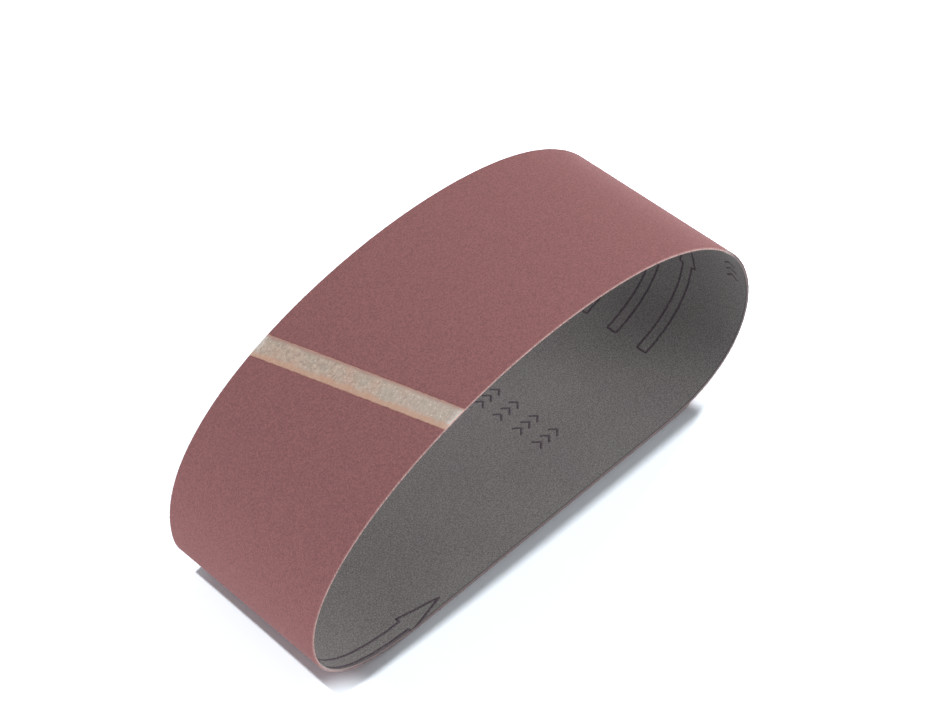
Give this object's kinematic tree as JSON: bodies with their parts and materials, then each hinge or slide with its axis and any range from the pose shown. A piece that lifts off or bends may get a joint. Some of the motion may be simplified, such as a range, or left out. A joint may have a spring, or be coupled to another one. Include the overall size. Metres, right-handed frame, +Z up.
{
  "type": "sanding belt",
  "caption": "Endless abrasive cloth belt for a hand-held belt sander, resting on its grit side as an open loop, with a slanting taped splice.",
  "frame": {"origin": "on the surface that the belt lies on, under the middle of the loop's length and of the belt's width", "axes": "+X along the loop, from its tighter end to its rounder end; +Y across the belt's width; +Z up"},
  "size_m": [0.2186, 0.075, 0.1016],
  "materials": {
    "abrasive_cloth": "matte red-brown aluminium oxide grit on one side, grey size-filled woven cotton cloth on the other, pale raw cut edges",
    "splice_tape": "matte mottled cream and grey tape"
  },
  "bodies": {
    "root": {"abrasive_belt": "abrasive_cloth", "splice_tape": "splice_tape"}
  },
  "joints": []
}
